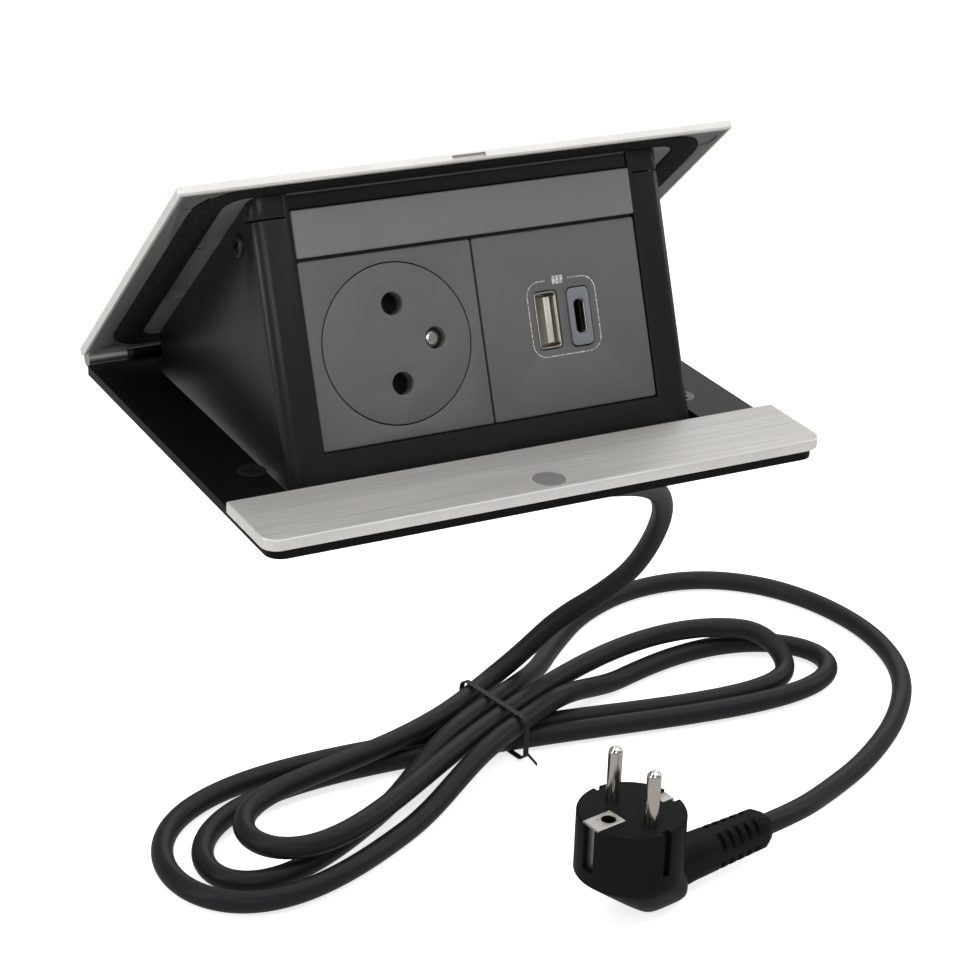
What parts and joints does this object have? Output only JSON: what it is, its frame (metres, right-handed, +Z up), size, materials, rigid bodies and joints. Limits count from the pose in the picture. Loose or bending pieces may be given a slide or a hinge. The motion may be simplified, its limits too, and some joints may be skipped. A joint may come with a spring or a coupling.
{
  "type": "pop-up desk socket",
  "caption": "Worktop socket box on a hinged lid that pops up, with an earthed outlet, two USB outlets, a push latch and a tied supply cord with an angled plug.",
  "frame": {"origin": "on the worktop's face under the base plate, midway between the two fixing screws", "axes": "+X along the front strip to its right end, +Y from the strip to the hinge, +Z up out of the worktop; the lid is stored open"},
  "size_m": [0.3771, 0.3424, 0.2987],
  "materials": {
    "base_black": "satin",
    "block_black": "satin",
    "brushed_metal": "brushed along X",
    "liner_grey": "fine matt",
    "foam_black": "open foam",
    "module_grey": "fine matt",
    "bar_grey": "fine matt",
    "button_grey": "matt",
    "screw_black": "satin",
    "pin_steel": "ground",
    "arm_metal": "satin",
    "nickel": "bright",
    "contact_brass": "plain",
    "frame_blue_grey": "satin",
    "tongue_black": "matt",
    "board_green": "satin",
    "cord_black": "matt",
    "plug_black": "fine matt",
    "tie_black": "matt"
  },
  "bodies": {
    "frame": {"base_plate": "base_black", "fixing_screws": "screw_black", "front_strip": "brushed_metal", "hinge_pin": "pin_steel", "hinge_washers": "arm_metal", "hinge_springs": "pin_steel", "latch_spring": "pin_steel", "cord_drop": "cord_black", "cord_hank": "cord_black", "cord_lead": "cord_black", "cord_tie": "tie_black", "plug_body": "plug_black", "plug_pins": "nickel", "plug_earth_plate": "nickel", "plug_earth_clip": "nickel"},
    "lid": {"hinge_arms": "arm_metal", "lid_skin": "brushed_metal", "lid_liner": "liner_grey", "lid_gasket": "foam_black", "lid_lugs": "pin_steel", "cheek_screws": "screw_black", "block_housing": "block_black", "corner_tab_left": "block_black", "corner_tab_right": "block_black", "module_carrier": "module_grey", "filler_bar": "bar_grey", "socket_body": "module_grey", "socket_cover": "module_grey", "disc_spring": "pin_steel", "earth_pin": "nickel", "contact_upper": "contact_brass", "contact_lower": "contact_brass", "usb_body": "module_grey", "usb_cover": "module_grey", "usb_board": "board_green", "usb_a_shell": "nickel", "usb_a_tongue": "tongue_black", "usb_c_frame": "frame_blue_grey", "usb_c_shell": "nickel", "usb_c_tongue": "tongue_black", "cord_gland": "cord_black"},
    "disc": {"socket_disc": "module_grey"},
    "button": {"release_button": "button_grey"},
    "bolt": {"latch_bolt": "tongue_black"}
  },
  "joints": [
    {"name": "lid_hinge", "type": "hinge", "parent": "frame", "child": "lid", "pos_m": [0, 0.0804, 0.0031], "axis": [1, 0, 0], "range_deg": [0, 42], "stiffness_Nm_per_rad": 0.35, "springref_deg": -68.75, "deforming": ["hinge_springs", "cord_drop"]},
    {"name": "disc_slide", "type": "slide", "parent": "lid", "child": "disc", "axis": [0, 0.9319, -0.3628], "range_m": [0, 0.013], "stiffness_N_per_m": 220, "springref_m": -0.008, "deforming": ["disc_spring"]},
    {"name": "button_slide", "type": "slide", "parent": "frame", "child": "button", "axis": [0, 0, -1], "range_m": [0, 0.001], "stiffness_N_per_m": 1200, "springref_m": -0.001},
    {"name": "bolt_slide", "type": "slide", "parent": "frame", "child": "bolt", "axis": [0, -1, 0], "range_m": [0, 0.001], "deforming": ["latch_spring"]}
  ],
  "couplings": [
    {"joint": "bolt_slide", "follows": "button_slide", "ratio": 1}
  ]
}
